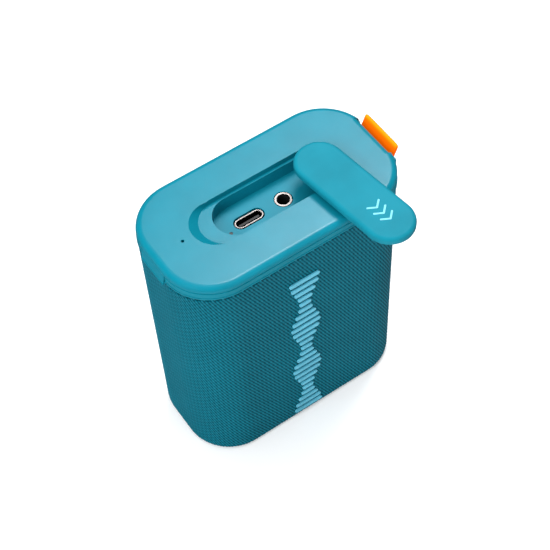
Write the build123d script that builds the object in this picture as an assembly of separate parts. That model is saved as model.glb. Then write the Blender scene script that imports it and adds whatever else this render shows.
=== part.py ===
from build123d import *
from math import cos, sin, radians, tau
import os

# A pocket-size bluetooth speaker: a rounded-rectangle tower in a knitted sleeve, closed on top by a
# moulded soft-touch cap. The cap holds a port recess, whose stadium lid is lifted and swung open on a
# post, and a webbing loop hangs from a pin at the right-hand end.
# Millimetres. X is the long side in plan, -Y is the front (badge side), +Z is up, and the origin is at
# the middle of the rest face.

# ---- driving dimensions ----
WIDTH = 74.4            # fabric, long side in plan
DEPTH = 39.8            # fabric, short side in plan
HEIGHT = 90.0           # rest face to the cap's top face
CORNER = 15.05          # plan radius of the fabric's corners
FABRIC_T = 1.0
FRAME_T = 1.6
FIT = 0.1               # assembly gap between neighbouring shells
FABRIC_BOTTOM = 0.4     # the sleeve's lowest point, just above the rest face
FABRIC_TOP = 85.2
RING_TOP = 87.5
CAP_BOTTOM = 87.9
CAP_PROUD = 0.32        # how far the cap stands out past the fabric
RING_PROUD = 0.3
LIP_PROUD, LIP_H = 0.15, 0.45    # the thin raised lip along the lower edge of the ring and the tab

# port recess in the cap, along X, centred on y = 0
SEAT_W = 15.2
SEAT_LEFT, SEAT_RIGHT = -21.6, 22.6
SEAT_DEPTH = 1.8
SCOOP_LEFT = -24.6      # where the thumb scoop's slope meets the top face
POCKET_W = 13.6
POCKET_LEFT, POCKET_RIGHT = -17.2, 21.0
POCKET_DEPTH = 4.6
FLOOR_T = 1.5
SEAT_Z = HEIGHT - SEAT_DEPTH
FLOOR_Z = SEAT_Z - POCKET_DEPTH
POCKET_MID = (POCKET_LEFT + POCKET_RIGHT) / 2

# ports
USB_X, JACK_X = -6.5, 5.1
USB_SHELL_L, USB_SHELL_W, USB_SHELL_DEPTH = 8.94, 3.26, 7.3
JACK_BORE_R = 1.8
LED_AT = (-13.4, -1.4)
MIC_X = -27.8

# lid and its swivel post
LID_L, LID_W, LID_T = 42.4, 14.7, 2.5
LID_TOP = 94.0          # the lid's top face while it is lifted
PIVOT_X = 16.5
PIVOT_INSET = 1.5       # the post's distance from the middle of the lid's pivot-end arc
OPEN_ANGLE = 97.5       # from over the recess to the swung-open rest pose
POST_R = 1.6

# webbing loop and its pin
STRAP_W, STRAP_T = 14.8, 0.6
PIN_X, PIN_Z, PIN_R = 35.3, 81.6, 0.75
STRAP_ELBOW, STRAP_TIP = (37.9, 85.6), (39.4, 89.35)     # middle of the doubled webbing, in X and Z
ANCHOR_W, ANCHOR_Z0, ANCHOR_Z1 = 19.2, 77.8, RING_TOP
ANCHOR_BACK = 31.9

# loudspeaker chamber
CHAMBER_Z0, CHAMBER_Z1 = 5.0, 46.0
CHAMBER_D, CHAMBER_T = 29.0, 1.6
DRIVER_Z = 25.5

# control panel on the back
PANEL_W, PANEL_H, PANEL_Z = 10.5, 34.0, 63.0
BUTTON_PITCH = 8.2
BUTTON_R = 3.2
BUTTON_TRAVEL = 0.5

os.makedirs("parts", exist_ok=True)


# ---- helpers ----
def rounded(width, depth, radius):
    return RectangleRounded(width, depth, radius)


def body_outline(grow):
    """The speaker's plan outline, grown outwards by grow (negative is inwards)."""
    return rounded(WIDTH + 2 * grow, DEPTH + 2 * grow, CORNER + grow)


def slab(sketch, z0, z1):
    return extrude(Pos(0, 0, z0) * sketch, z1 - z0)


def slot(left, right, width):
    """A stadium along X between two X positions."""
    return Pos((left + right) / 2, 0) * SlotOverall(right - left, width)


def y_prism(sketch, y0, y1):
    """A prism along Y from a sketch drawn in X and Z."""
    plane = Plane(origin=(0, y1, 0), x_dir=(1, 0, 0), z_dir=(0, -1, 0))
    return extrude(plane * sketch, y1 - y0)


def y_rod(x, z, radius, y0, y1):
    return y_prism(Pos(x, z) * Circle(radius), y0, y1)


def z_rod(x, y, radius, z0, z1):
    return slab(Pos(x, y) * Circle(radius), z0, z1)


def block(x0, x1, y0, y1, z0, z1):
    return Pos((x0 + x1) / 2, (y0 + y1) / 2, (z0 + z1) / 2) * Box(x1 - x0, y1 - y0, z1 - z0)


def turned_about_y(points, z):
    """A solid of revolution about the Y axis through height z, from (radius, y) points."""
    profile = make_face(Polyline(*points, close=True))
    return Pos(0, 0, z) * revolve(profile, Axis.Y)


def corners(x, y):
    return [(sx * x, sy * y) for sx in (-1, 1) for sy in (-1, 1)]


def save(name, shape):
    shape.label = name
    export_step(shape, "parts/" + name + ".step")


# ---- shared outlines ----
HALF_W, HALF_D = WIDTH / 2, DEPTH / 2
CAP_X = HALF_W + CAP_PROUD
NECK_INSET = 3.0
TAB_HALF = 5.5          # half width of the cap's tab at the left-hand end
TAB_BOTTOM, TAB_FLARE = 84.3, 0.65    # its lower edge, and how far that stands out past the cap
NOTCH_X = 36.6          # the cap's edge where it is cut back for the webbing
frame_outer = -(FABRIC_T + 0.05)
frame_inner = frame_outer - FRAME_T
anchor_envelope = block(ANCHOR_BACK - FIT, CAP_X + 1, -ANCHOR_W / 2 - FIT, ANCHOR_W / 2 + FIT,
                        ANCHOR_Z0 - FIT, CAP_BOTTOM)
panel_window = y_prism(Pos(0, PANEL_Z) * Rot(0, 0, 90) * SlotOverall(PANEL_H + 2 * FIT, PANEL_W + 2 * FIT),
                       15.0, 22.0)


# ---- fabric sleeve and the perforated frame that it is stretched on ----
def make_fabric_sleeve():
    outer = slab(body_outline(0), FABRIC_BOTTOM, FABRIC_TOP)
    outer = fillet(outer.edges().group_by(Axis.Z)[0], 1.5)
    inner = slab(body_outline(-FABRIC_T), FABRIC_BOTTOM + FABRIC_T, FABRIC_TOP)
    inner = fillet(inner.edges().group_by(Axis.Z)[0], 0.6)
    opening = slab(rounded(58, 26, 10), 0, FABRIC_BOTTOM + 2)
    return outer - inner - opening - panel_window - anchor_envelope


def make_grille_frame():
    floor = FABRIC_BOTTOM + FABRIC_T + 0.05
    outer = slab(body_outline(frame_outer), floor, FABRIC_TOP - FIT)
    outer = fillet(outer.edges().group_by(Axis.Z)[0], 1.1)
    inner = slab(body_outline(frame_inner), floor + FRAME_T, FABRIC_TOP)
    shell = outer - inner - slab(rounded(58, 26, 10), 0, floor + 3)
    # perforations over the driver (front) and the passive radiator (back), in a staggered grid
    pitch = 5.0
    dots = Sketch()
    for row in range(-4, 5):
        for column in range(-4, 5):
            x = (column + (row % 2) / 2) * pitch
            z = row * pitch * 0.866
            if x * x + z * z < 18.5 ** 2:
                dots += Pos(x, DRIVER_Z + z) * Circle(1.5)
    shell -= y_prism(dots, -25, 25)
    # lugs that the cap's screws pull down on
    for x, y in corners(26.0, 11.2):
        lug = block(x - 4.2, x + 4.2, min(y, y * 1.6), max(y, y * 1.6), 78.0, 80.0)
        lug = lug & slab(body_outline(frame_inner + 0.2), 77, 81)
        shell += lug - z_rod(x, y, 1.25, 77, 81)
    return shell - panel_window - anchor_envelope


# ---- cap, trim ring ----
def make_top_cap():
    skirt = slab(body_outline(CAP_PROUD), CAP_BOTTOM, HEIGHT)
    skirt = fillet(skirt.edges().group_by(Axis.Z)[-1], 1.95)
    neck = slab(body_outline(-NECK_INSET), 84.0, CAP_BOTTOM)
    cavity = slab(body_outline(-NECK_INSET - 1.8), 82.0, HEIGHT - 2.0)
    cap = skirt + neck - cavity
    cap += slab(slot(SEAT_LEFT - 1.6, SEAT_RIGHT + 1.6, SEAT_W + 3.2), SEAT_Z - 1.5, HEIGHT - 1)
    # the tab that laps over the ring at the left-hand end
    flare_x = -CAP_X - TAB_FLARE
    tab_side = Polyline((-HALF_W - FIT, TAB_BOTTOM), (flare_x - LIP_PROUD, TAB_BOTTOM),
                        (flare_x - LIP_PROUD, TAB_BOTTOM + LIP_H), (flare_x, TAB_BOTTOM + LIP_H + 0.1),
                        (-CAP_X + 0.02, CAP_BOTTOM - 0.3), (-CAP_X + 0.02, CAP_BOTTOM + 0.15),
                        (-HALF_W - FIT, CAP_BOTTOM + 0.15), close=True)
    cap += y_prism(make_face(tab_side), -TAB_HALF, TAB_HALF)
    # the edge is cut back at the right-hand end, where the webbing comes up
    notch = Pos(NOTCH_X - 1.8, HEIGHT - 1.8) * (Pos(5, 2) * Rectangle(10, 4) - Circle(1.8))
    notch += Pos(NOTCH_X + 5, HEIGHT - 3.8) * Rectangle(10, 4)
    cap -= y_prism(notch, -STRAP_W / 2 - 0.5, STRAP_W / 2 + 0.5)
    # lid seat and the mouth of the port pocket
    cap -= slab(slot(SEAT_LEFT, SEAT_RIGHT, SEAT_W), SEAT_Z, HEIGHT + 1)
    cap -= slab(slot(POCKET_LEFT, POCKET_RIGHT, POCKET_W), FLOOR_Z, HEIGHT)
    # thumb scoop: a slanted half-moon from the top face down to the seat
    top_arc = Pos(SCOOP_LEFT + SEAT_W / 2, 0, HEIGHT + 0.01) * Circle(SEAT_W / 2 - 0.02)
    low_arc = Pos(SEAT_LEFT + SEAT_W / 2, 0, SEAT_Z) * Circle(SEAT_W / 2 - 0.02)
    cap -= loft([low_arc, top_arc])
    cap -= z_rod(MIC_X, 0, 0.5, HEIGHT - 4, HEIGHT + 1)
    # screw bosses, from the underside of the top
    for x, y in corners(26.0, 11.2):
        boss = z_rod(x, y, 2.6, 80.1, HEIGHT - 2.0)
        cap += boss - z_rod(x, y, 1.0, 79, HEIGHT - 3.5)
    return cap - anchor_envelope


def make_port_tray():
    """The tub bonded under the lid seat: the pocket's walls and floor, with the boss for the lid's post."""
    tray = slab(slot(POCKET_LEFT - 1.5, POCKET_RIGHT + 1.5, POCKET_W + 3.0), FLOOR_Z - FLOOR_T, SEAT_Z - 1.55)
    tray -= slab(slot(POCKET_LEFT, POCKET_RIGHT, POCKET_W), FLOOR_Z, HEIGHT)
    tray += z_rod(PIVOT_X, 0, 2.8, FLOOR_Z - FLOOR_T, SEAT_Z)
    tray -= z_rod(PIVOT_X, 0, POST_R + 0.06, FLOOR_Z - 3, HEIGHT)
    tray -= slab(Pos(USB_X, 0) * SlotOverall(9.8, 4.4), FLOOR_Z - 3, FLOOR_Z + 1)
    tray -= z_rod(JACK_X, 0, 2.75, FLOOR_Z - 3, FLOOR_Z + 1)
    return tray - z_rod(*LED_AT, 0.55, FLOOR_Z - 3, FLOOR_Z + 1)


def make_trim_ring():
    ring = slab(body_outline(RING_PROUD), FABRIC_TOP, RING_TOP)
    ring = fillet(ring.edges().group_by(Axis.Z)[-1], 0.25)
    ring += slab(body_outline(RING_PROUD + LIP_PROUD), FABRIC_TOP, FABRIC_TOP + LIP_H)
    ring += slab(body_outline(-0.3), RING_TOP - 1, CAP_BOTTOM - 0.05)
    ring -= slab(body_outline(-NECK_INSET + FIT), FABRIC_TOP - 1, HEIGHT)
    tab_notch = block(-CAP_X - 1, -HALF_W + FIT, -TAB_HALF - 0.2, TAB_HALF + 0.2, 80, 90)
    return ring - tab_notch - anchor_envelope


# ---- base ----
def make_base_plate():
    plug = slab(rounded(57.6, 25.6, 9.8), FABRIC_BOTTOM, 3.4)
    flange = slab(rounded(62.0, 29.6, 11.5), 3.15, 4.8)
    plate = plug + flange - slab(rounded(54.2, 22.2, 8.1), 0, 1.4)
    for x, y in corners(20.0, 5.0):
        plate -= z_rod(x, y, 1.25, 0, 6) + z_rod(x, y, 2.3, 0, 2.7)
    return plate


def make_base_foot():
    """The rubber pad that the speaker stands on; it covers the base's screws."""
    return slab(rounded(54, 22, 8), 0, 1.35)


def screw_group(places, head_z0, head_z1, tip_z, head_r, shaft_r):
    group = []
    for x, y in places:
        head = z_rod(x, y, head_r, min(head_z0, head_z1), max(head_z0, head_z1))
        shaft = z_rod(x, y, shaft_r, head_z1, tip_z)
        socket = slab(Pos(x, y) * RegularPolygon(head_r * 0.5, 6), head_z0 - 0.01, head_z0 + 0.7)
        group.append(head + shaft - socket)
    return Compound(children=group)


# ---- lid, modelled closed and then swung to its open rest pose ----
def swing_open(shape):
    return Pos(PIVOT_X, 0, 0) * Rot(0, 0, OPEN_ANGLE) * Pos(-PIVOT_X, 0, 0) * shape


LID_END = PIVOT_X - PIVOT_INSET + LID_W / 2     # closed: the pivot end's outermost X
LID_TIP = LID_END - LID_L
LID_BOTTOM = LID_TOP - LID_T


def make_port_lid():
    lid = slab(slot(LID_TIP, LID_END, LID_W), LID_BOTTOM, LID_TOP)
    lid = fillet(lid.edges().group_by(Axis.Z)[-1], 1.3)
    lid = fillet(lid.edges().group_by(Axis.Z)[0], 0.5)
    return swing_open(lid)


def make_lid_gasket():
    """The soft rim under the lid that plugs into the pocket's mouth."""
    outer = slab(slot(POCKET_LEFT + 0.4, POCKET_RIGHT - 0.4, POCKET_W - 0.8), HEIGHT + 0.35, LID_BOTTOM)
    inner = slab(slot(POCKET_LEFT + 1.6, POCKET_RIGHT - 1.6, POCKET_W - 3.2), HEIGHT, LID_BOTTOM)
    return swing_open(outer - inner)


def make_lid_mark():
    """Three raised arrowheads near the lid's free end, pointing the way it is pulled."""
    arm, stroke = 2.1, 0.55
    tip_x = LID_TIP + 7.0
    group = []
    for number in range(3):
        x = tip_x + number * 2.6
        path = Polyline((x + arm * 0.75, arm), (x, 0), (x + arm * 0.75, -arm))
        arrow = slab(make_face(offset(path, stroke / 2)), LID_TOP, LID_TOP + 0.12)
        group.append(swing_open(arrow))
    return Compound(children=group)


def make_lid_post():
    post = z_rod(PIVOT_X, 0, POST_R, 79.6, LID_BOTTOM)
    groove = z_rod(PIVOT_X, 0, POST_R + 1, 80.6, 81.6) - z_rod(PIVOT_X, 0, 1.1, 80.6, 81.6)
    return chamfer((post - groove).edges().group_by(Axis.Z)[0], 0.4)


def make_lid_clip():
    clip = z_rod(PIVOT_X, 0, 3.0, 80.65, 81.55) - z_rod(PIVOT_X, 0, 1.15, 80, 82)
    return clip - block(PIVOT_X, PIVOT_X + 4, -0.9, 0.9, 80, 82)


# ---- webbing loop, anchor and pin ----
def loop_outline():
    """Side view (X, Z) of the folded webbing: round the pin, out past the cap's edge and up."""
    r = PIN_R + 0.05 + STRAP_T
    half = STRAP_T + 0.1
    elbow_x, elbow_z = STRAP_ELBOW
    tip_x, tip_z = STRAP_TIP
    body = Pos(PIN_X, PIN_Z) * Circle(r)
    body += make_hull([*(Pos(PIN_X, PIN_Z) * Circle(r)).edges(),
                       *(Pos(elbow_x, elbow_z) * Circle(half)).edges()])
    body += make_hull([*(Pos(elbow_x, elbow_z) * Circle(half)).edges(),
                       *(Pos(tip_x, tip_z) * Circle(half)).edges()])
    return body


def make_strap_loop():
    outline = loop_outline()
    strap = y_prism(outline, -STRAP_W / 2, STRAP_W / 2)
    eye = y_rod(PIN_X, PIN_Z, PIN_R + 0.05, -20, 20)
    slit = Polyline((PIN_X + 0.3, PIN_Z + 0.4), STRAP_ELBOW, (39.2, 88.85))
    return strap - eye - y_prism(make_face(offset(slit, 0.12)), -20, 20)


def make_strap_anchor():
    front = HALF_W + RING_PROUD
    anchor = block(ANCHOR_BACK, front, -ANCHOR_W / 2, ANCHOR_W / 2, ANCHOR_Z0, ANCHOR_Z1)
    anchor -= block(PIN_X - 2.2, front + 1, -STRAP_W / 2 - 0.3, STRAP_W / 2 + 0.3, ANCHOR_Z0 + 1.1, ANCHOR_Z1 + 1)
    return anchor - y_rod(PIN_X, PIN_Z, PIN_R, -9.2, 9.2)


# ---- badge: a raised level-meter pattern of plain bars, stacked up the front face ----
def make_front_badge():
    bars, bars_per_swell = 25, 8
    column_x, column_low, column_high = -1.95, 4.0, 73.2
    pitch = (column_high - column_low) / (bars - 1)
    group = []
    for number in range(bars):
        z = column_low + number * pitch
        length = 7.1 + 3.1 * cos(tau * number / bars_per_swell)
        bar = y_prism(Pos(column_x, z) * SlotOverall(length, 1.5), -HALF_D - 0.45, -HALF_D)
        group.append(bar)
    return Compound(children=group)


# ---- ports and the electronics behind them ----
def usb_slot(grow):
    return Pos(USB_X, 0) * SlotOverall(USB_SHELL_L + 2 * grow, USB_SHELL_W + 2 * grow)


USB_TOP = FLOOR_Z - 0.2
USB_BOTTOM = USB_TOP - USB_SHELL_DEPTH
LEG_HEIGHTS = (0.3, 4.2)        # the shell's solder legs, above its lower end
BOARD_Y0, BOARD_Y1 = 1.8, 3.2
BOARD_Z0, BOARD_Z1 = 66.6, 80.9


def make_usb_c_shell():
    shell = slab(usb_slot(0), USB_BOTTOM, USB_TOP) - slab(usb_slot(-0.3), USB_BOTTOM + 0.8, USB_TOP + 1)
    for side in (-1, 1):
        x = USB_X + side * 3.6
        for z in LEG_HEIGHTS:
            shell += block(x - 0.5, x + 0.5, 1.5, BOARD_Y1 - FIT, USB_BOTTOM + z, USB_BOTTOM + z + 1.1)
    return shell


def make_usb_c_tongue():
    tongue = block(USB_X - 3.3, USB_X + 3.3, -0.35, 0.35, USB_BOTTOM + 0.8, USB_TOP - 0.9)
    return tongue + block(USB_X - 3.6, USB_X + 3.6, -0.95, 0.95, USB_BOTTOM + 0.8, USB_BOTTOM + 1.9)


def make_audio_jack_body():
    body = block(JACK_X - 3.1, JACK_X + 3.1, -3.0, 3.0, 69.0, 81.9)
    body += z_rod(JACK_X, 0, 2.3, 81.0, FLOOR_Z - 0.6)
    return body - z_rod(JACK_X, 0, JACK_BORE_R, 69.6, HEIGHT)


def make_audio_jack_ring():
    ring = z_rod(JACK_X, 0, 2.5, FLOOR_Z - 0.55, FLOOR_Z - 0.05)
    return ring - z_rod(JACK_X, 0, JACK_BORE_R + 0.15, 80, 90)


def make_led_light_pipe():
    x, y = LED_AT
    pipe = z_rod(x, y, 0.5, 79.0, FLOOR_Z - 0.1) + z_rod(x, y, 1.2, 79.0, 80.2)
    return pipe


def make_microphone():
    mic = block(MIC_X - 1.7, MIC_X + 1.7, -1.3, 1.3, HEIGHT - 3.4, HEIGHT - 2.25)
    return mic - z_rod(MIC_X, 0, 0.35, HEIGHT - 3.0, HEIGHT)


def make_main_board():
    board = y_prism(Pos(-1.0, (BOARD_Z0 + BOARD_Z1) / 2) * Rectangle(54, BOARD_Z1 - BOARD_Z0), BOARD_Y0, BOARD_Y1)
    for side in (-1, 1):
        for z in LEG_HEIGHTS:
            x = USB_X + side * 3.6
            board -= block(x - 0.6, x + 0.6, 1, 4, USB_BOTTOM + z - 0.1, USB_BOTTOM + z + 1.2)
    board -= z_rod(PIVOT_X, 0, 3.4, 79.0, 82)
    board -= block(JACK_X - 3.2, JACK_X + 3.2, 1, 4, 68.9, 82)     # the jack sits in a cut-out
    return board


def make_board_chips():
    """Radio can, amplifier, charger and inductors on the back of the main board."""
    sizes = [(-20, 74, 10, 9, 1.6), (-2, 75, 6, 6, 1.0), (10.8, 75.5, 4, 4, 0.9), (18, 73, 5, 5, 2.6), (25, 77, 2.5, 4, 1.2)]
    chips = []
    for x, z, width, height, thick in sizes:
        chip = block(x - width / 2, x + width / 2, BOARD_Y1, BOARD_Y1 + thick, z - height / 2, z + height / 2)
        chips.append(chip)
    return Compound(children=chips)


CELL_Y, CELL_Z, CELL_R = -2.0, 56.5, 9.2


def make_battery_cell():
    cell = Pos(0, CELL_Y, CELL_Z) * Rot(0, 90, 0) * Cylinder(CELL_R, 62.0)
    cell = fillet(cell.edges(), 0.8)
    button = Pos(31.4, CELL_Y, CELL_Z) * Rot(0, 90, 0) * Cylinder(3.0, 1.2)
    return cell + button


def make_battery_cradle():
    cradle = block(-27, 27, CELL_Y - 10.6, CELL_Y + 10.6, CHAMBER_Z1 + 0.05, CELL_Z - 3)
    bore = Pos(0, CELL_Y, CELL_Z) * Rot(0, 90, 0) * Cylinder(CELL_R + 0.1, 70)
    window = block(-18, 18, CELL_Y - 12, CELL_Y + 12, CHAMBER_Z1 + 2.4, CELL_Z)
    return cradle - bore - window


# ---- acoustic chamber, driver and passive radiator ----
def make_speaker_box():
    width, radius = WIDTH - 7.0, 9.5
    outer = slab(rounded(width, CHAMBER_D, radius), CHAMBER_Z0, CHAMBER_Z1)
    hollow = slab(rounded(width - 2 * CHAMBER_T, CHAMBER_D - 2 * CHAMBER_T, radius - CHAMBER_T),
                  CHAMBER_Z0 + CHAMBER_T, CHAMBER_Z1 - CHAMBER_T)
    box = outer - hollow
    for x, y in corners(20.0, 5.0):
        box -= z_rod(x, y, 1.15, CHAMBER_Z0 - 1, 6.25)
    box -= y_rod(0, DRIVER_Z, 16.6, -20, 0)
    return box - y_rod(0, DRIVER_Z, 15.2, 0, 20)


FRONT = -CHAMBER_D / 2          # outer face of the chamber's front wall
BACK = CHAMBER_D / 2


SCREW_CIRCLE = 18.8             # radius of the driver's four screws
SCREW_ANGLES = [radians(45 + 90 * number) for number in range(4)]


def make_driver_basket():
    flange_y, ledge_y = FRONT - 1.5, FRONT - 0.2
    points = [(17.6, flange_y), (20.0, flange_y), (20.0, FRONT), (16.4, FRONT), (16.2, FRONT + 1.5),
              (12.0, -4.0), (12.0, -2.8), (5.2, -2.8), (5.2, -4.0), (11.0, -4.0), (15.0, FRONT + 1.5),
              (15.4, ledge_y), (17.6, ledge_y)]
    basket = turned_about_y(points, DRIVER_Z)
    for angle in SCREW_ANGLES:
        basket -= y_rod(SCREW_CIRCLE * cos(angle), DRIVER_Z + SCREW_CIRCLE * sin(angle), 0.65, flange_y - 1, FRONT + 1)
    return basket


def make_driver_magnet():
    """Magnet and pot in one piece, with the annular gap that the voice coil runs in."""
    cup = turned_about_y([(0, 6.0), (11.5, 6.0), (11.5, -2.75), (5.1, -2.75), (5.1, 4.6), (3.9, 4.6), (3.9, -3.6), (0, -3.6)],
                         DRIVER_Z)
    return cup


CONE_Y = FRONT - 0.6            # the cone's rim, just inside the surround


def make_driver_cone():
    points = [(4.9, -6.4), (13.2, CONE_Y), (13.8, CONE_Y), (13.8, CONE_Y + 0.6), (13.4, CONE_Y + 0.6), (4.9, -5.7)]
    return turned_about_y(points, DRIVER_Z)


def make_driver_surround():
    profile = Pos(15.4, CONE_Y + 0.35) * (Circle(1.35) - Circle(0.9)) & Pos(15.4, CONE_Y - 1.15) * Rectangle(4, 3)
    rim = Pos(16.95, CONE_Y + 0.1) * Rectangle(1.1, 0.5)
    return Pos(0, 0, DRIVER_Z) * revolve(profile + rim, Axis.Y)


def make_dust_cap():
    points = [(0, -9.3), (2.6, -8.8), (4.7, -7.7), (5.6, -7.45), (5.6, -7.15), (4.5, -7.3), (2.4, -8.3), (0, -8.8)]
    return turned_about_y(points, DRIVER_Z)


def make_voice_coil():
    return turned_about_y([(4.35, -6.3), (4.85, -6.3), (4.85, 1.5), (4.35, 1.5)], DRIVER_Z)


def make_driver_screws():
    group = []
    for angle in SCREW_ANGLES:
        x, z = SCREW_CIRCLE * cos(angle), DRIVER_Z + SCREW_CIRCLE * sin(angle)
        group.append(y_rod(x, z, 0.9, FRONT - 1.9, FRONT - 1.5) + y_rod(x, z, 0.6, FRONT - 1.5, FRONT))
    return Compound(children=group)


def make_radiator_frame():
    return turned_about_y([(15.0, BACK), (18.6, BACK), (18.6, BACK + 1.5), (15.0, BACK + 1.5)], DRIVER_Z)


def make_radiator_surround():
    profile = Pos(13.6, BACK + 0.3) * (Circle(1.35) - Circle(0.9)) & Pos(13.6, BACK + 1.8) * Rectangle(4, 3)
    rim = Pos(14.85, BACK + 0.45) * Rectangle(0.3, 0.5)
    return Pos(0, 0, DRIVER_Z) * revolve(profile + rim, Axis.Y)


def make_radiator_plate():
    return turned_about_y([(0, BACK + 0.1), (11.9, BACK + 0.1), (11.9, BACK + 0.8), (0, BACK + 0.8)], DRIVER_Z)


def make_radiator_weight():
    return turned_about_y([(0, BACK - 3.0), (8.5, BACK - 3.0), (8.5, BACK + 0.1), (0, BACK + 0.1)], DRIVER_Z)


# ---- control panel and buttons on the back ----
PANEL_FACE = HALF_D + 0.6
PANEL_BACK = HALF_D - 1.65
BUTTON_HEIGHTS = [PANEL_Z + BUTTON_PITCH * (step - 1.5) for step in range(4)]
BUTTON_FRONT = PANEL_FACE + 0.4


def make_control_panel():
    panel = y_prism(Pos(0, PANEL_Z) * Rot(0, 0, 90) * SlotOverall(PANEL_H, PANEL_W), PANEL_BACK, PANEL_FACE)
    panel = fillet(panel.edges().group_by(Axis.Y)[-1], 0.45)
    for z in BUTTON_HEIGHTS:
        panel -= y_rod(0, z, BUTTON_R + 0.15, 15, 25)
    return panel


def bar(width, height, turn=0):
    return Rot(0, 0, turn) * Rectangle(width, height)


def make_button(z, icon):
    cap = y_rod(0, z, BUTTON_R, PANEL_BACK - 0.2, BUTTON_FRONT)
    cap = fillet(cap.edges().group_by(Axis.Y)[-1], 0.4)
    flange = y_rod(0, z, BUTTON_R + 0.7, PANEL_BACK - 1.1, PANEL_BACK - 0.1)
    stem = y_rod(0, z, 1.0, 14.7, PANEL_BACK - 1.0)
    mark = y_prism(Pos(0, z) * icon, BUTTON_FRONT - 0.2, BUTTON_FRONT + 1)
    return cap + flange + stem - mark


POWER_ICON = (Circle(1.5) - Circle(1.1) - Pos(0, 1.3) * Rectangle(1.1, 1.4)) + Pos(0, 1.15) * Rectangle(0.4, 1.5)
PLAY_ICON = Rot(0, 0, 30) * RegularPolygon(1.5, 3)
PLUS_ICON = bar(2.8, 0.5) + bar(2.8, 0.5, 90)
MINUS_ICON = bar(2.8, 0.5)
BUTTONS = {"button_minus": MINUS_ICON, "button_play": PLAY_ICON, "button_plus": PLUS_ICON, "button_power": POWER_ICON}


def make_tact_switches():
    group = []
    for z in BUTTON_HEIGHTS:
        body = block(-2.25, 2.25, 11.6, 13.5, z - 2.25, z + 2.25)
        group.append(body + y_rod(0, z, 1.0, 13.4, 14.1))
    return Compound(children=group)


def make_button_board():
    return y_prism(Pos(0, PANEL_Z) * Rectangle(9.0, 31.0), 10.4, 11.6)


# ---- write every node ----
save("fabric_sleeve", make_fabric_sleeve())
save("grille_frame", make_grille_frame())
save("top_cap", make_top_cap())
save("port_tray", make_port_tray())
save("trim_ring", make_trim_ring())
save("base_plate", make_base_plate())
save("base_foot", make_base_foot())
save("base_screws", screw_group(corners(20.0, 5.0), 1.5, 2.7, 6.2, 2.1, 1.1))
save("cap_screws", screw_group(corners(26.0, 11.2), 76.4, 78.0, 86.0, 2.1, 0.95))
save("port_lid", make_port_lid())
save("lid_gasket", make_lid_gasket())
save("lid_mark", make_lid_mark())
save("lid_post", make_lid_post())
save("lid_clip", make_lid_clip())
save("strap_loop", make_strap_loop())
save("strap_anchor", make_strap_anchor())
save("strap_pin", y_rod(PIN_X, PIN_Z, PIN_R, -9.1, 9.1))
save("front_badge", make_front_badge())
save("usb_c_shell", make_usb_c_shell())
save("usb_c_tongue", make_usb_c_tongue())
save("audio_jack_body", make_audio_jack_body())
save("audio_jack_ring", make_audio_jack_ring())
save("led_light_pipe", make_led_light_pipe())
save("microphone", make_microphone())
save("main_board", make_main_board())
save("board_chips", make_board_chips())
save("battery_cell", make_battery_cell())
save("battery_cradle", make_battery_cradle())
save("speaker_box", make_speaker_box())
save("driver_basket", make_driver_basket())
save("driver_magnet", make_driver_magnet())
save("driver_cone", make_driver_cone())
save("driver_surround", make_driver_surround())
save("dust_cap", make_dust_cap())
save("voice_coil", make_voice_coil())
save("driver_screws", make_driver_screws())
save("radiator_frame", make_radiator_frame())
save("radiator_surround", make_radiator_surround())
save("radiator_plate", make_radiator_plate())
save("radiator_weight", make_radiator_weight())
save("control_panel", make_control_panel())
for (name, icon), z in zip(BUTTONS.items(), BUTTON_HEIGHTS):
    save(name, make_button(z, icon))
save("button_board", make_button_board())
save("tact_switches", make_tact_switches())
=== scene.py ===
"""Looks for the portable speaker: knitted sleeve, webbing loop, materials, stage, light and camera."""
from math import cos, pi, radians, sin, tau

import bpy
import numpy as np
from mathutils import Matrix, Vector


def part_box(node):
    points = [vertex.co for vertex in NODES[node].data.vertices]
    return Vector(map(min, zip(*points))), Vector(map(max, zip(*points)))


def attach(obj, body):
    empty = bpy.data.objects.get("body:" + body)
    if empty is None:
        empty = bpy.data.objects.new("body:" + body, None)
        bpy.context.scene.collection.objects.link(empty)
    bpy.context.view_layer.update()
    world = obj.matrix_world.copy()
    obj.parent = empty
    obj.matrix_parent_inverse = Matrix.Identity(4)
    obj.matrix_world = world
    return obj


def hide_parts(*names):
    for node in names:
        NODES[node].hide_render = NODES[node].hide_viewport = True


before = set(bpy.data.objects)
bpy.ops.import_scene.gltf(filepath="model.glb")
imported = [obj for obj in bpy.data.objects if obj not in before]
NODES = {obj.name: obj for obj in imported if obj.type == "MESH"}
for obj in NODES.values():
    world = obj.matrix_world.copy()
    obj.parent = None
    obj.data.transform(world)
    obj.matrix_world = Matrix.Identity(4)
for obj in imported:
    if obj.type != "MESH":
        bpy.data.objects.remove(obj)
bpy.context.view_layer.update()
MM = 0.001


# ---------------------------------------------------------------- camera
# The view is from the front left, high above the object, rolled a little to the left.
CAMERA_AZIMUTH, CAMERA_ELEVATION, CAMERA_ROLL = radians(-31.54), radians(55.05), radians(-3.52)
CAMERA_DISTANCE = 0.4050
CAMERA_TARGET = Vector((-0.0086, -0.0154, 0.0757))
CAMERA_LENS, CAMERA_SENSOR = 95.4, 36.0     # mm
CAMERA_CLIP_START = 0.01


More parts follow.
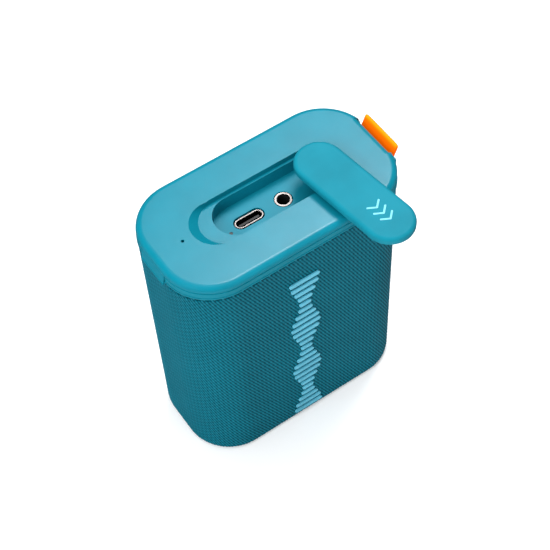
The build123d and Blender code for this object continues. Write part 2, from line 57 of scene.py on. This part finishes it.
def add_camera():
    az, el, roll = CAMERA_AZIMUTH, CAMERA_ELEVATION, CAMERA_ROLL
    back = Vector((sin(az) * cos(el), -cos(az) * cos(el), sin(el)))
    right = Vector((0, 0, 1)).cross(back).normalized()
    up = back.cross(right)
    rolled_right = right * cos(roll) + up * sin(roll)
    rolled_up = up * cos(roll) - right * sin(roll)
    camera = bpy.data.objects.new("camera", bpy.data.cameras.new("camera"))
    bpy.context.scene.collection.objects.link(camera)
    turn = Matrix((rolled_right, rolled_up, back)).transposed()
    camera.matrix_world = Matrix.Translation(CAMERA_TARGET + back * CAMERA_DISTANCE) @ turn.to_4x4()
    camera.data.lens = CAMERA_LENS
    camera.data.sensor_width = CAMERA_SENSOR
    camera.data.clip_start = CAMERA_CLIP_START
    bpy.context.scene.camera = camera


# ---------------------------------------------------------------- materials
class Nodes:
    """A short way to write node trees: each method adds a node and returns its output socket."""

    def __init__(self, name):
        self.material = bpy.data.materials.new(name)
        self.material.use_nodes = True
        self.tree = self.material.node_tree
        self.shader = self.tree.nodes["Principled BSDF"]

    def add(self, kind, **inputs):
        node = self.tree.nodes.new("ShaderNode" + kind)
        for key, value in inputs.items():
            if key in node.inputs:
                self.put(node.inputs[key], value)
            else:
                setattr(node, key, value)
        return node

    def put(self, socket, value):
        if isinstance(value, bpy.types.NodeSocket):
            self.tree.links.new(value, socket)
        else:
            socket.default_value = value

    def set(self, name, value):
        self.put(self.shader.inputs[name], value)

    def object_point(self):
        return self.add("TexCoord").outputs["Object"]

    def noise(self, scale, detail=2.0, roughness=0.5, point=None):
        node = self.add("TexNoise", Scale=scale, Detail=detail, Roughness=roughness)
        self.put(node.inputs["Vector"], point or self.object_point())
        return node.outputs["Fac"]

    def math(self, operation, a, b=0.0, c=0.0, clamp=False):
        node = self.tree.nodes.new("ShaderNodeMath")
        node.operation, node.use_clamp = operation, clamp
        for socket, value in zip(node.inputs, (a, b, c)):
            self.put(socket, value)
        return node.outputs[0]

    def span(self, value, low, high, out_low=0.0, out_high=1.0):
        node = self.tree.nodes.new("ShaderNodeMapRange")
        for socket, item in zip(node.inputs, (value, low, high, out_low, out_high)):
            self.put(socket, item)
        return node.outputs[0]

    def mix(self, factor, a, b):
        node = self.tree.nodes.new("ShaderNodeMix")
        node.data_type = "RGBA"
        self.put(node.inputs[0], factor)
        for socket, colour in zip((node.inputs[6], node.inputs[7]), (a, b)):
            self.put(socket, colour if isinstance(colour, bpy.types.NodeSocket) else (*colour, 1))
        return node.outputs[2]

    def bump(self, height, distance, strength=1.0, under=None):
        node = self.add("Bump", Height=height, Distance=distance, Strength=strength)
        if under is not None:
            self.put(node.inputs["Normal"], under)
        return node.outputs["Normal"]


def soft_touch(name, base, rough, grain=0.00002, specular=0.5):
    """Fine matte elastomer: a slight mottle in colour and gloss, and a spark-eroded mould grain."""
    n = Nodes(name)
    mottle = n.noise(90, detail=3)
    darker = tuple(c * 0.93 for c in base)
    lighter = tuple(min(1, c * 1.05) for c in base)
    n.set("Base Color", n.mix(n.span(mottle, 0.35, 0.65), darker, lighter))
    n.set("Roughness", n.span(n.noise(260, detail=2), 0.3, 0.7, rough - 0.015, rough + 0.02))
    n.set("Specular IOR Level", specular)
    n.set("Normal", n.bump(n.noise(5200, detail=1.5), grain, 0.5))
    return n.material


def plain_plastic(name, base, rough, specular=0.4):
    n = Nodes(name)
    speck = n.noise(700, detail=2)
    n.set("Base Color", n.mix(n.span(speck, 0.35, 0.65), tuple(c * 0.85 for c in base), base))
    n.set("Roughness", n.span(n.noise(140), 0.3, 0.7, rough - 0.06, rough + 0.06))
    n.set("Specular IOR Level", specular)
    n.set("Normal", n.bump(speck, 0.00001, 0.5))
    return n.material


def metal(name, base, rough, stretch=(1, 1, 1)):
    """Plated or brushed metal, with fine scratches drawn out along one direction."""
    n = Nodes(name)
    mapping = n.add("Mapping", Scale=stretch)
    n.put(mapping.inputs["Vector"], n.object_point())
    grain = n.noise(1800, detail=3, point=mapping.outputs[0])
    n.set("Base Color", n.mix(grain, tuple(c * 0.8 for c in base), base))
    n.set("Metallic", 1.0)
    n.set("Roughness", n.span(grain, 0.3, 0.7, rough - 0.05, rough + 0.1))
    n.set("Normal", n.bump(grain, 0.000008, 0.4))
    return n.material


TEAL = (0.002, 0.196, 0.275)

CAP = soft_touch("cap_soft_touch", TEAL, 0.29, specular=0.30)
TRAY = soft_touch("tray_satin", TEAL, 0.45, specular=0.25)
LID = soft_touch("lid_silicone", (0.006, 0.208, 0.284), 0.5, specular=0.1)
RING = soft_touch("ring_satin", (0.002, 0.20, 0.275), 0.5, specular=0.15)
MARK = soft_touch("mark_print", (0.17, 0.58, 0.72), 0.6)
BADGE = soft_touch("badge_print", (0.10, 0.46, 0.62), 0.62)
NICKEL = metal("nickel_plate", (0.30, 0.27, 0.26), 0.35)
STEEL = metal("steel", (0.58, 0.58, 0.60), 0.3, stretch=(1, 1, 8))
BLACK = plain_plastic("black_moulding", (0.012, 0.012, 0.013), 0.45)
FRAME_PLASTIC = plain_plastic("teal_moulding", (0.003, 0.06, 0.075), 0.55)
FOOT = plain_plastic("foot_rubber", (0.002, 0.035, 0.045), 0.75, specular=0.25)
BOARD = plain_plastic("solder_mask", (0.01, 0.14, 0.05), 0.3)
CHIP = plain_plastic("chip_epoxy", (0.02, 0.02, 0.021), 0.55)
CELL = plain_plastic("cell_sleeve", (0.02, 0.16, 0.36), 0.3)
PULP = plain_plastic("coated_pulp", (0.03, 0.03, 0.033), 0.7)
RUBBER = plain_plastic("butyl_rubber", (0.012, 0.012, 0.013), 0.6)
MAGNET = metal("zinc_plate", (0.5, 0.5, 0.52), 0.35)
COPPER = metal("enamelled_copper", (0.72, 0.32, 0.14), 0.3, stretch=(1, 12, 1))
PIPE = plain_plastic("smoked_light_pipe", (0.004, 0.03, 0.04), 0.3)

MATERIAL_OF_NODE = {
    "top_cap": CAP, "port_tray": TRAY, "trim_ring": RING, "port_lid": LID, "lid_gasket": LID,
    "lid_post": LID, "lid_mark": MARK, "lid_clip": BLACK, "front_badge": BADGE, "strap_anchor": RING,
    "strap_pin": STEEL, "base_plate": FRAME_PLASTIC,
    "grille_frame": FRAME_PLASTIC, "base_foot": FOOT, "base_screws": STEEL, "cap_screws": STEEL,
    "usb_c_shell": NICKEL, "usb_c_tongue": BLACK, "audio_jack_body": BLACK, "audio_jack_ring": NICKEL,
    "led_light_pipe": PIPE, "microphone": NICKEL, "main_board": BOARD, "board_chips": CHIP,
    "battery_cell": CELL, "battery_cradle": BLACK, "speaker_box": BLACK, "driver_basket": STEEL,
    "driver_magnet": MAGNET, "driver_cone": PULP, "dust_cap": PULP, "driver_surround": RUBBER,
    "voice_coil": COPPER, "driver_screws": STEEL, "radiator_frame": BLACK, "radiator_surround": RUBBER,
    "radiator_plate": PULP, "radiator_weight": STEEL, "control_panel": LID, "button_minus": CAP,
    "button_play": CAP, "button_plus": CAP, "button_power": CAP, "button_board": BOARD, "tact_switches": CHIP,
}


def dress_cad_nodes():
    for name, node in NODES.items():
        material = MATERIAL_OF_NODE.get(name)
        if material is None:
            continue
        if not node.material_slots:
            node.data.materials.append(material)
        for slot in node.material_slots:
            slot.material = material


# ---------------------------------------------------------------- meshes
def mesh_object(name, points, faces, material, body="housing"):
    mesh = bpy.data.meshes.new(name)
    corners = [tuple(int(i) for i in face) for face in faces]
    mesh.from_pydata([tuple(p) for p in points], [], corners)
    mesh.polygons.foreach_set("use_smooth", [True] * len(mesh.polygons))
    mesh.materials.append(material)
    mesh.update()
    piece = bpy.data.objects.new(name, mesh)
    bpy.context.scene.collection.objects.link(piece)
    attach(piece, body)
    return piece


# ---------------------------------------------------------------- knitted sleeve
SLEEVE_LOW, SLEEVE_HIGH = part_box("fabric_sleeve")
HALF_W = (SLEEVE_HIGH[0] - SLEEVE_LOW[0]) / 2
HALF_D = (SLEEVE_HIGH[1] - SLEEVE_LOW[1]) / 2
CORNER = 15.05 * MM
STRAIGHT_X, STRAIGHT_Y = HALF_W - CORNER, HALF_D - CORNER
PERIMETER = 4 * (STRAIGHT_X + STRAIGHT_Y) + tau * CORNER
UNDER_RADIUS = 1.5 * MM         # the cloth's turn under the body
UNDER_FLAT = 4.0 * MM           # how far it runs inwards under the body
# The knit is a slanted lattice of stitches: columns, and the height between stitches in one column.
COLUMN, ROW = 1.449 * MM, 1.924 * MM
# How much each wave of the lattice counts: the slanted ribs, the columns and the waves that cross the ribs.
RIBS, COLUMNS, CROSSING = 0.66, 0.17, 0.17
STITCH_DEPTH = 0.20 * MM
FLARE = 0.35 * MM               # wider at the top than halfway up, and narrower at the bottom
# the row of long stitches that holds the cloth's upper edge
HEM_BELOW_EDGE, HEM_HALF_HEIGHT = 1.05 * MM, 0.42 * MM
HEM_PITCH, HEM_HALF_LENGTH, HEM_DEPTH = 2.85 * MM, 1.1 * MM, 0.30 * MM
HEM_SHARPNESS = 2.2             # how quickly a hem gap goes from the cloth's tone to full dark painted shade
CLOTH_BELOW_CAP = 0.05 * MM
CUT_EDGE = 0.4 * MM             # how far inside the panel's outline the cloth is cut
QUICK_STEP, FULL_STEP = 0.30 * MM, 0.22 * MM


def outline_point(s):
    """Position and outward direction on the plan outline, s along it from the front's middle, going +X."""
    s = s % PERIMETER
    arc = CORNER * pi / 2
    legs = [STRAIGHT_X, arc, 2 * STRAIGHT_Y, arc, 2 * STRAIGHT_X, arc, 2 * STRAIGHT_Y, arc, STRAIGHT_X]
    starts = [(0, -HALF_D), None, (HALF_W, -STRAIGHT_Y), None, (STRAIGHT_X, HALF_D), None,
              (-HALF_W, STRAIGHT_Y), None, (-STRAIGHT_X, -HALF_D)]
    ways = [(1, 0), None, (0, 1), None, (-1, 0), None, (0, -1), None, (1, 0)]
    centres = [(STRAIGHT_X, -STRAIGHT_Y), (STRAIGHT_X, STRAIGHT_Y),
               (-STRAIGHT_X, STRAIGHT_Y), (-STRAIGHT_X, -STRAIGHT_Y)]
    for leg, length in enumerate(legs):
        if s <= length or leg == len(legs) - 1:
            break
        s -= length
    if leg % 2:
        quarter = leg // 2
        angle = -pi / 2 + quarter * pi / 2 + s / CORNER
        cx, cy = centres[quarter]
        return (cx + CORNER * cos(angle), cy + CORNER * sin(angle)), (cos(angle), sin(angle))
    (x, y), (dx, dy) = starts[leg], ways[leg]
    return (x + dx * s, y + dy * s), (dy, -dx)


def stitch_height(s, t):
    """Relief of the knit, 0 to 1, at s along the body and t up it."""
    diagonal = np.cos(tau * (1.5 * s / COLUMN + t / ROW))
    columns = np.cos(tau * s / COLUMN)
    counter = np.cos(tau * (0.5 * s / COLUMN - t / ROW))
    return 0.5 + 0.5 * (RIBS * diagonal + COLUMNS * columns + CROSSING * counter)


def hem_gap(s, z):
    """1 in the hem row's gaps, where the cloth is pushed in and painted dark as shade, 0 elsewhere."""
    along = np.abs((s + HEM_PITCH / 2) % HEM_PITCH - HEM_PITCH / 2) / HEM_HALF_LENGTH
    up = np.abs(z - (SLEEVE_HIGH[2] - HEM_BELOW_EDGE)) / HEM_HALF_HEIGHT
    return np.clip(HEM_SHARPNESS * (1 - np.sqrt(along ** 4 + up ** 2)), 0, 1)


def knit_material():
    n = Nodes("knit_cloth")
    # the same lattice as stitch_height, from each corner's place in columns and rows
    place = n.add("SeparateXYZ", Vector=n.add("Attribute", attribute_name="lattice").outputs["Vector"])
    u, v = place.outputs[0], place.outputs[1]
    waves = 0.5
    for share, across, up in ((RIBS, 1.5, 1), (COLUMNS, 1, 0), (CROSSING, 0.5, -1)):
        phase = n.math("MULTIPLY_ADD", u, across * tau, n.math("MULTIPLY", v, up * tau))
        waves = n.math("MULTIPLY_ADD", n.math("COSINE", phase), 0.5 * share, waves)
    # painted shade: the hem gaps take the dark colour of the hollows
    gap = n.add("Attribute", attribute_name="gap").outputs["Fac"]
    relief = n.math("MULTIPLY", waves, n.math("SUBTRACT", 1.0, gap))
    # painted shade and highlight: the cloth's colour runs from a painted shade in the hollows between stitches to
    # a painted highlight on the crests, following the relief
    lit = n.span(relief, 0.15, 0.85)
    patchy = n.noise(55, detail=2)
    hollow_shade, crest_light = (0.000, 0.052, 0.074), (0.002, 0.176, 0.250)
    colour = n.mix(lit, hollow_shade, crest_light)
    fade = n.mix(n.span(patchy, 0.3, 0.7), (0.90, 0.90, 0.90), (1.0, 1.0, 1.0))
    tint = n.tree.nodes.new("ShaderNodeMix")
    tint.data_type, tint.blend_type = "RGBA", "MULTIPLY"
    n.put(tint.inputs[0], 1.0)
    n.put(tint.inputs[6], colour)
    n.put(tint.inputs[7], fade)
    n.set("Base Color", tint.outputs[2])
    n.set("Roughness", n.span(lit, 0, 1, 0.85, 0.65))
    n.set("Specular IOR Level", 0.08)
    n.set("Normal", n.bump(n.noise(6000, detail=2), 0.00003, 0.6))
    return n.material


def panel_hole(x, y, z):
    """True inside the control panel's outline on the back, where the cloth is cut away."""
    low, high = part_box("control_panel")
    half_w = (high[0] - low[0]) / 2 - CUT_EDGE
    mid_z, half_h = (high[2] + low[2]) / 2, (high[2] - low[2]) / 2 - CUT_EDGE
    reach = np.maximum(np.abs(z - mid_z) - (half_h - half_w), 0)
    return (y > 0) & (np.hypot(x, reach) < half_w)


def anchor_hole(x, y, z):
    low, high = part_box("strap_anchor")
    edge = 0.2 * MM
    return (x > 0) & (np.abs(y) < high[1] - edge) & (z > low[2] + edge)


def sleeve_profile(step):
    """The cloth's line up the body, one row per point: how far it is inset from the outline, its height,
    and the outward and upward parts of its normal."""
    low, high = SLEEVE_LOW[2] + UNDER_RADIUS, SLEEVE_HIGH[2] - CLOTH_BELOW_CAP
    profile = []
    under_steps = max(2, int(UNDER_FLAT / (2 * step)))
    for k in range(under_steps):
        profile.append((UNDER_RADIUS + UNDER_FLAT * (1 - k / under_steps), SLEEVE_LOW[2], 0.0, -1.0))
    turn_steps = int(UNDER_RADIUS * pi / 2 / step)
    for k in range(turn_steps):
        angle = pi / 2 * (1 - k / turn_steps)
        profile.append((UNDER_RADIUS * (1 - cos(angle)), low - UNDER_RADIUS * sin(angle), cos(angle), -sin(angle)))
    wall_steps = int((high - low) / step)
    for k in range(wall_steps + 1):
        profile.append((0.0, low + (high - low) * k / wall_steps, 1.0, 0.0))
    return profile


def add_knit_sleeve():
    step = FULL_STEP
    around = int(round(PERIMETER / step))
    rim = [outline_point(i * PERIMETER / around) for i in range(around)]
    base = np.array([p for p, _ in rim])
    out = np.array([d for _, d in rim])
    profile = sleeve_profile(step)
    rows = len(profile)
    inset, height, outward, upward = (np.array(c)[:, None] for c in zip(*profile))
    along = np.concatenate([[0], np.cumsum(np.hypot(np.diff(inset[:, 0]), np.diff(height[:, 0])))])
    s = np.arange(around)[None, :] * PERIMETER / around
    # a whole number of columns round the body keeps the seam invisible
    columns = round(PERIMETER / (2 * COLUMN))
    s_knit = s * (columns * 2 * COLUMN / PERIMETER)
    t = (along - along[-1])[:, None]
    s_hem = s * (round(PERIMETER / HEM_PITCH) * HEM_PITCH / PERIMETER)
    gap = hem_gap(s_hem, height)
    relief = stitch_height(s_knit, t) * (1 - gap)
    lift = (relief - 1.0) * STITCH_DEPTH - gap * HEM_DEPTH
    x = base[None, :, 0] - out[None, :, 0] * (inset - lift * outward)
    y = base[None, :, 1] - out[None, :, 1] * (inset - lift * outward)
    z = height + lift * upward
    middle = (SLEEVE_LOW[2] + SLEEVE_HIGH[2]) / 2
    x = x * (1 + FLARE / HALF_W * np.clip((height - middle) / middle, -1, 1))
    points = np.stack([x, y, z * np.ones_like(x)], -1).reshape(-1, 3)
    i, j = np.meshgrid(np.arange(rows - 1), np.arange(around), indexing="ij")
    j2 = (j + 1) % around
    quads = np.stack([i * around + j, i * around + j2, (i + 1) * around + j2, (i + 1) * around + j], -1)
    quads = quads.reshape(-1, 4)
    mid = points[quads].mean(1)
    keep = ~(panel_hole(*mid.T) | anchor_hole(*mid.T))
    quads = quads[keep]
    u, v = s_knit[0] / COLUMN, t[:, 0] / ROW
    corner_u = np.stack([u, u + u[1], u + u[1], u], -1)[None].repeat(rows - 1, 0).reshape(-1, 4)[keep]
    corner_v = np.stack([v[:-1], v[:-1], v[1:], v[1:]], -1)[:, None].repeat(around, 1).reshape(-1, 4)[keep]
    used = np.unique(quads)
    index = np.full(len(points), -1)
    index[used] = np.arange(len(used))
    piece = mesh_object("knit_sleeve", points[used], index[quads], knit_material())
    attribute = piece.data.attributes.new("gap", "FLOAT", "POINT")
    attribute.data.foreach_set("value", gap.reshape(-1)[used].astype(np.float32))
    lattice = np.stack([corner_u, corner_v, np.zeros_like(corner_u)], -1)
    attribute = piece.data.attributes.new("lattice", "FLOAT_VECTOR", "CORNER")
    attribute.data.foreach_set("vector", lattice.reshape(-1).astype(np.float32))
    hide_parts("fabric_sleeve")
    return piece


# ---------------------------------------------------------------- webbing loop
PIN, PIN_REACH = Vector((35.3, 81.6)) * MM, 1.09 * MM
ELBOW, TIP = Vector((37.9, 85.6)) * MM, Vector((39.4, 89.35)) * MM
WEB_WIDTH, WEB_THICK, WEB_APART = 14.8 * MM, 0.58 * MM, 0.35 * MM
ALONG_SPACING, ACROSS_COUNT = 0.16 * MM, 74
RIB, PICK, WEAVE_DEPTH = 1.0 * MM, 0.62 * MM, 0.035 * MM     # ribs across the width, picks along the length


def webbing_material():
    n = Nodes("webbing")
    weave = n.add("Attribute", attribute_name="weave").outputs["Fac"]
    fold = n.add("Attribute", attribute_name="fold").outputs["Fac"]
    # painted shade and highlight: the webbing is darker in the weave's hollows and lighter on its raised yarns
    face = n.mix(weave, (0.86, 0.105, 0.0), (1.0, 0.19, 0.001))
    # painted highlight: the webbing is lighter along the fold at its top, where the light falls
    n.set("Base Color", n.mix(fold, face, (1.0, 0.25, 0.002)))
    n.set("Roughness", 0.75)
    n.set("Specular IOR Level", 0.12)
    n.set("Emission Color", (1.0, 0.13, 0.0, 1))       # glow: partly the dye's fluorescence, partly painted light that brightens the webbing's shaded face
    n.set("Emission Strength", 0.35)
    n.set("Normal", n.bump(n.noise(5000), 0.00003, 0.6))
    return n.material


def half_turn(middle, reach, start):
    """Points clockwise round the middle, from the start angle through half a turn."""
    return [middle + Vector((cos(start - pi * k / 12), sin(start - pi * k / 12))) * reach for k in range(13)]


def webbing_line(spacing):
    """Middle line of the webbing in X and Z: up the inner layer, over the fold, down the outer, round the pin."""
    lower, upper = (ELBOW - PIN).normalized(), (TIP - ELBOW).normalized()
    lower_side, upper_side = Vector((-lower.y, lower.x)), Vector((-upper.y, upper.x))
    elbow_side = (lower_side + upper_side).normalized() * WEB_APART
    right = Vector((1, 0))
    corner_points = [ELBOW + elbow_side, *half_turn(TIP, WEB_APART, upper_side.to_2d().angle_signed(right)),
                     ELBOW - elbow_side, *half_turn(PIN, PIN_REACH, (-lower_side).angle_signed(right))]
    closed = np.array([tuple(p) for p in corner_points + corner_points[:1]])
    length = np.concatenate([[0], np.cumsum(np.hypot(*np.diff(closed, axis=0).T))])
    count = int(length[-1] / spacing)
    at = np.arange(count) * length[-1] / count
    line = np.stack([np.interp(at, length, closed[:, 0]), np.interp(at, length, closed[:, 1])], -1)
    for _ in range(3):
        line = (np.roll(line, 1, 0) + 2 * line + np.roll(line, -1, 0)) / 4
    return line, at


def add_webbing_loop():
    line, along = webbing_line(ALONG_SPACING)
    ahead = np.roll(line, -1, 0) - np.roll(line, 1, 0)
    ahead /= np.hypot(*ahead.T)[:, None]
    side = np.stack([-ahead[:, 1], ahead[:, 0]], -1)
    across = np.linspace(-1, 1, ACROSS_COUNT)
    half = WEB_THICK / 2 * np.sqrt(1 - np.abs(across) ** 10 * 0.98)
    ring_v = np.concatenate([across, across[::-1]]) * WEB_WIDTH / 2
    ring_h = np.concatenate([half, -half[::-1]])
    weave = np.sin(tau * ring_v[None, :] / RIB) * np.sin(tau * along[:, None] / PICK)
    woven = np.abs(ring_v) < WEB_WIDTH * 0.49
    lift = ring_h[None, :] + np.sign(ring_h)[None, :] * weave * WEAVE_DEPTH * woven
    x = line[:, None, 0] + side[:, None, 0] * lift
    z = line[:, None, 1] + side[:, None, 1] * lift
    y = np.broadcast_to(ring_v, x.shape)
    rows, columns = x.shape
    points = np.stack([x, y, z], -1).reshape(-1, 3)
    i, j = np.meshgrid(np.arange(rows), np.arange(columns), indexing="ij")
    i2, j2 = (i + 1) % rows, (j + 1) % columns
    quads = np.stack([i * columns + j, i2 * columns + j, i2 * columns + j2, i * columns + j2], -1)
    quads = quads.reshape(-1, 4)
    piece = mesh_object("webbing_loop", points, quads, webbing_material(), body="strap")
    # mask of the painted highlight along the fold at the top
    reach = np.hypot(line[:, 0] - TIP.x, line[:, 1] - TIP.y)
    fold = np.broadcast_to(np.clip(1.6 - reach / (0.5 * MM), 0, 1)[:, None], x.shape)
    for name, values in (("weave", 0.5 + 0.5 * weave), ("fold", fold)):
        attribute = piece.data.attributes.new(name, "FLOAT", "POINT")
        attribute.data.foreach_set("value", values.reshape(-1).astype(np.float32))
    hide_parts("strap_loop")


# ---------------------------------------------------------------- stage and light
FLOOR_HALF_SIZE, WORLD_STRENGTH = 4.0, 0.05


def add_stage():
    floor = Nodes("sweep")
    floor.set("Base Color", (0.93, 0.93, 0.935, 1))
    floor.set("Roughness", 0.8)
    floor.set("Specular IOR Level", 0.1)
    floor.set("Emission Color", (1, 1, 1, 1))
    floor.set("Emission Strength", 0.12)
    size = FLOOR_HALF_SIZE
    mesh = bpy.data.meshes.new("floor")
    mesh.from_pydata([(-size, -size, 0), (size, -size, 0), (size, size, 0), (-size, size, 0)], [], [(0, 1, 2, 3)])
    mesh.materials.append(floor.material)
    plane = bpy.data.objects.new("floor", mesh)
    bpy.context.scene.collection.objects.link(plane)
    plane.visible_glossy = False
    world = bpy.data.worlds.new("studio")
    world.use_nodes = True
    world.node_tree.nodes["Background"].inputs["Color"].default_value = (1, 1, 1, 1)
    world.node_tree.nodes["Background"].inputs["Strength"].default_value = WORLD_STRENGTH
    bpy.context.scene.world = world


def add_softbox(name, place, size, watts, glossy=False):
    """A square soft light aimed at the object. Only the main one shows in reflections."""
    light = bpy.data.lights.new(name, "AREA")
    light.shape, light.size = "SQUARE", size
    light.energy = watts
    lamp = bpy.data.objects.new(name, light)
    bpy.context.scene.collection.objects.link(lamp)
    lamp.location = place
    lamp.rotation_mode = "QUATERNION"
    lamp.rotation_quaternion = (Vector((0, 0, 0.05)) - Vector(place)).to_track_quat("-Z", "Y")
    lamp.visible_glossy = glossy


def add_lights():
    add_softbox("overhead", (-0.1, 0.1, 1.6), 1.8, 24)
    add_softbox("back_right", (0.50, 0.42, 1.33), 0.50, 15, glossy=True)
    add_softbox("left", (-1.2, -0.45, 0.8), 0.9, 18)
    add_softbox("front", (0.3, -1.3, 0.8), 1.0, 4)
    bpy.context.scene.view_settings.view_transform = "Standard"


# ---------------------------------------------------------------- build
add_camera()
dress_cad_nodes()
add_webbing_loop()
add_knit_sleeve()
add_stage()
add_lights()
